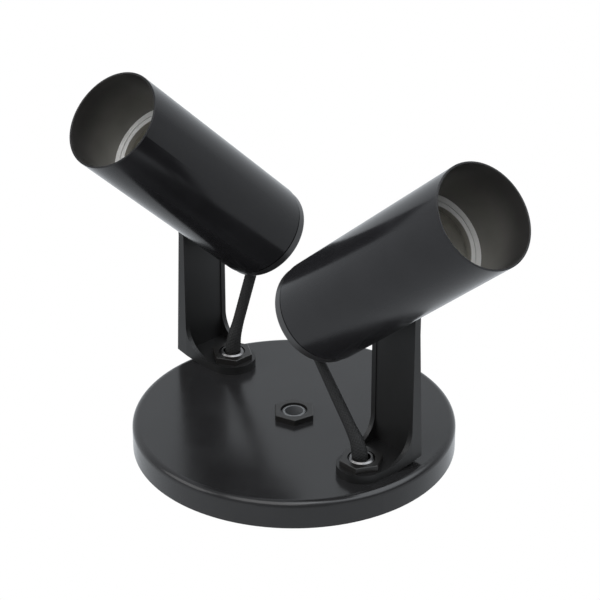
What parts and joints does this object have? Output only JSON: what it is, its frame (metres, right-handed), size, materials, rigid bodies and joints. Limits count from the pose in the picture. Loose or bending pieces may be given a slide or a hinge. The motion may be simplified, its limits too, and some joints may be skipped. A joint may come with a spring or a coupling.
{
  "type": "twin adjustable spotlight",
  "caption": "Round canopy with tilting tube spots on upright moulded arms that swivel on threaded nipples, each with a sleeved cable to its rear cap.",
  "frame": {"origin": "centre of the canopy's mounting face, midway between the mounting bar's slots", "axes": "+Z out of the mounting face into the room, +X along the row of nuts towards the right spot, +Y completes a right-handed frame"},
  "size_m": [0.1801, 0.1272, 0.1449],
  "materials": {
    "canopy_paint": "satin black paint",
    "tube_paint": "satin black paint",
    "arm_plastic": "matt moulded black",
    "cap_plastic": "satin moulded black",
    "black_nut": "black coated steel",
    "zinc_steel": "bright zinc plate",
    "dull_zinc": "zinc plate, dulled",
    "ring_grey": "turned, dull",
    "holder_ceramic": "unglazed steatite",
    "bush_rubber": "matt",
    "cable_sleeve": "woven glass-fibre sleeve, black"
  },
  "bodies": {
    "base": {"canopy": "canopy_paint", "mounting_bar": "zinc_steel", "centre_nipple": "dull_zinc", "arm_nipples": "zinc_steel", "clamp_nuts": "black_nut", "lock_nuts": "zinc_steel", "lock_washers": "zinc_steel"},
    "left_swivel": {"left_arm": "arm_plastic", "left_cable": "cable_sleeve"},
    "left_head": {"left_tube": "tube_paint", "left_rear_cap": "cap_plastic", "left_cable_bush": "bush_rubber", "left_lampholder": "holder_ceramic", "left_holder_screws": "zinc_steel", "left_retaining_ring": "ring_grey", "left_pivot_screw": "zinc_steel", "left_pivot_washer": "zinc_steel", "left_saddle_spacer": "arm_plastic", "left_clamp_plate": "zinc_steel"},
    "right_swivel": {"right_arm": "arm_plastic", "right_cable": "cable_sleeve"},
    "right_head": {"right_tube": "tube_paint", "right_rear_cap": "cap_plastic", "right_cable_bush": "bush_rubber", "right_lampholder": "holder_ceramic", "right_holder_screws": "zinc_steel", "right_retaining_ring": "ring_grey", "right_pivot_screw": "zinc_steel", "right_pivot_washer": "zinc_steel", "right_saddle_spacer": "arm_plastic", "right_clamp_plate": "zinc_steel"}
  },
  "joints": [
    {"name": "left_pan", "type": "hinge", "parent": "base", "child": "left_swivel", "pos_m": [-0.0456, 0, 0.0104], "axis": [0, 0, 1], "range_deg": [-175, 155]},
    {"name": "left_tilt", "type": "hinge", "parent": "left_swivel", "child": "left_head", "pos_m": [-0.04206, 0.00067, 0.0805], "axis": [-0.9826, -0.1857, 0], "range_deg": [-43, 135], "deforming": ["left_cable"]},
    {"name": "right_pan", "type": "hinge", "parent": "base", "child": "right_swivel", "pos_m": [0.0456, 0, 0.0104], "axis": [0, 0, 1], "range_deg": [-88, 241]},
    {"name": "right_tilt", "type": "hinge", "parent": "right_swivel", "child": "right_head", "pos_m": [0.0464, -0.00351, 0.0805], "axis": [-0.2233, 0.9748, 0], "range_deg": [-91, 39], "deforming": ["right_cable"]}
  ]
}
